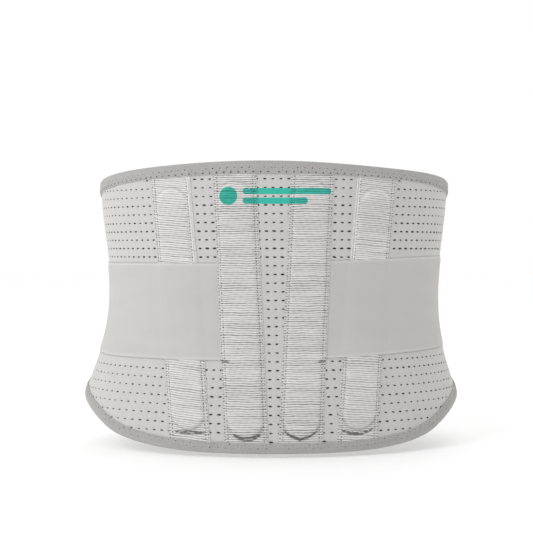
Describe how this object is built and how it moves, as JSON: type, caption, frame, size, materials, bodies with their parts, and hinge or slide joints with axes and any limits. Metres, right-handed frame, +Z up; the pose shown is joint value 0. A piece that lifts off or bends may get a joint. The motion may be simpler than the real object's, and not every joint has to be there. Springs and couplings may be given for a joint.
{
  "type": "lumbar support belt",
  "caption": "Elastic lumbar support belt closed as worn, with stays in ribbed tapes behind, two compression straps round the sides and a hook-and-loop closure in front.",
  "frame": {"origin": "middle of the waist opening, at its narrowest level", "axes": "+Z up along the wearer's spine, -Y the wearer's back, +Y the front closure, +X sideways"},
  "size_m": [0.3375, 0.2411, 0.2466],
  "materials": {
    "knit": "perforated stretch knit",
    "binding": "woven binding tape, zigzag stitched",
    "channel_tape": "ribbed woven tape",
    "stay": "matt moulded strip",
    "strap_elastic": "smooth fine-ribbed elastic",
    "loop_pile": "short loop pile",
    "hook_tape": "moulded hooks",
    "grip": "folded woven tape"
  },
  "bodies": {
    "back": {"back_panel": "knit", "back_top_binding": "binding", "back_bottom_binding": "binding", "centre_left_channel": "channel_tape", "centre_right_channel": "channel_tape", "outer_left_channel": "channel_tape", "outer_right_channel": "channel_tape", "centre_left_stay": "stay", "centre_right_stay": "stay", "outer_left_stay": "stay", "outer_right_stay": "stay", "left_strap_back": "strap_elastic", "right_strap_back": "strap_elastic"},
    "left_wing": {"left_wing_panel": "knit", "left_wing_binding": "binding", "left_loop_panel": "loop_pile", "left_strap_front": "strap_elastic", "closing_tab_base": "strap_elastic"},
    "right_wing": {"right_wing_panel": "knit", "right_wing_binding": "binding", "right_loop_panel": "loop_pile", "right_strap_front": "strap_elastic"},
    "closing_tab": {"closing_tab": "strap_elastic", "closing_tab_hook": "hook_tape"},
    "left_strap_tab": {"left_strap_tab": "strap_elastic", "left_strap_hook": "hook_tape", "left_strap_grip": "grip"},
    "right_strap_tab": {"right_strap_tab": "strap_elastic", "right_strap_hook": "hook_tape", "right_strap_grip": "grip"}
  },
  "joints": [
    {"name": "left_wing_open", "type": "hinge", "parent": "back", "child": "left_wing", "pos_m": [-0.165, 0.025, 0], "axis": [0, 0, 1], "range_deg": [0, 70]},
    {"name": "right_wing_open", "type": "hinge", "parent": "back", "child": "right_wing", "pos_m": [0.165, 0.025, 0], "axis": [0, 0, -1], "range_deg": [0, 70]},
    {"name": "closure_peel", "type": "hinge", "parent": "left_wing", "child": "closing_tab", "pos_m": [-0.0307, 0.1134, 0], "axis": [0, 0, 1], "range_deg": [0, 110]},
    {"name": "left_strap_peel", "type": "hinge", "parent": "left_wing", "child": "left_strap_tab", "pos_m": [-0.1159, 0.0853, -0.02], "axis": [0, 0, 1], "range_deg": [0, 100]},
    {"name": "right_strap_peel", "type": "hinge", "parent": "right_wing", "child": "right_strap_tab", "pos_m": [0.1159, 0.0853, -0.02], "axis": [0, 0, -1], "range_deg": [0, 100]}
  ],
  "couplings": [
    {"joint": "right_wing_open", "follows": "left_wing_open", "ratio": 1},
    {"joint": "closure_peel", "follows": "left_wing_open", "ratio": 1.55}
  ]
}
